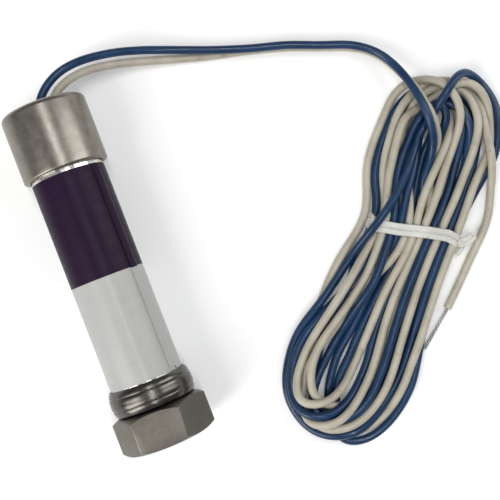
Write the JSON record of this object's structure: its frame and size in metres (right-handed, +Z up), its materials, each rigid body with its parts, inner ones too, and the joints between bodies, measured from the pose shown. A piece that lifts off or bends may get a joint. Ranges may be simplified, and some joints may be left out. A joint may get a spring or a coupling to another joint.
{
  "type": "flame sensor probe",
  "caption": "Slim ultraviolet flame sensor probe with a turning hex coupling at the front, a conduit cap at the rear and two leads wound in a tied hank.",
  "frame": {"origin": "on the surface it lies on, under the middle of the probe without its leads", "axes": "+X along the probe, from the conduit cap to the hex coupling; +Y level, towards the hank of leads; +Z up"},
  "size_m": [0.1565, 0.1616, 0.029],
  "materials": {
    "cap_steel": "satin",
    "tube_steel": "satin",
    "label_film": "satin",
    "collar_steel": "polished",
    "coupling_steel": "matte",
    "ring_steel": "satin",
    "nickel": "satin",
    "quartz": "polished",
    "clear_glass": "polished",
    "black_rubber": "matte",
    "potting_resin": "satin",
    "insulating_board": "matte",
    "moulded_base": "matte",
    "blue_insulation": "glossy",
    "white_insulation": "satin",
    "tie_paper": "matte",
    "tinned_copper": "satin"
  },
  "bodies": {
    "probe": {"conduit_cap": "cap_steel", "body_tube": "tube_steel", "wrap_label": "label_film", "front_collar": "collar_steel", "snap_ring": "ring_steel", "window_gasket": "black_rubber", "quartz_window": "quartz", "window_retainer": "nickel", "lead_grommet": "black_rubber", "potting_plug": "potting_resin", "splice_blue": "nickel", "splice_white": "nickel", "pin_left": "nickel", "pin_right": "nickel", "electrode_left": "nickel", "electrode_right": "nickel", "tube_base": "moulded_base", "glass_envelope": "clear_glass", "insulating_sleeve": "insulating_board", "cushion_rear": "black_rubber", "cushion_front": "black_rubber", "lead_blue": "blue_insulation", "lead_white": "white_insulation", "lead_white_end": "white_insulation", "stripped_tip": "tinned_copper", "wire_hank": "white_insulation", "twist_tie": "tie_paper"},
    "coupling": {"hex_coupling": "coupling_steel"}
  },
  "joints": [
    {"name": "coupling_spin", "type": "hinge", "parent": "probe", "child": "coupling", "pos_m": [0.0469, 0, 0.0145], "axis": [1, 0, 0], "continuous": true}
  ]
}
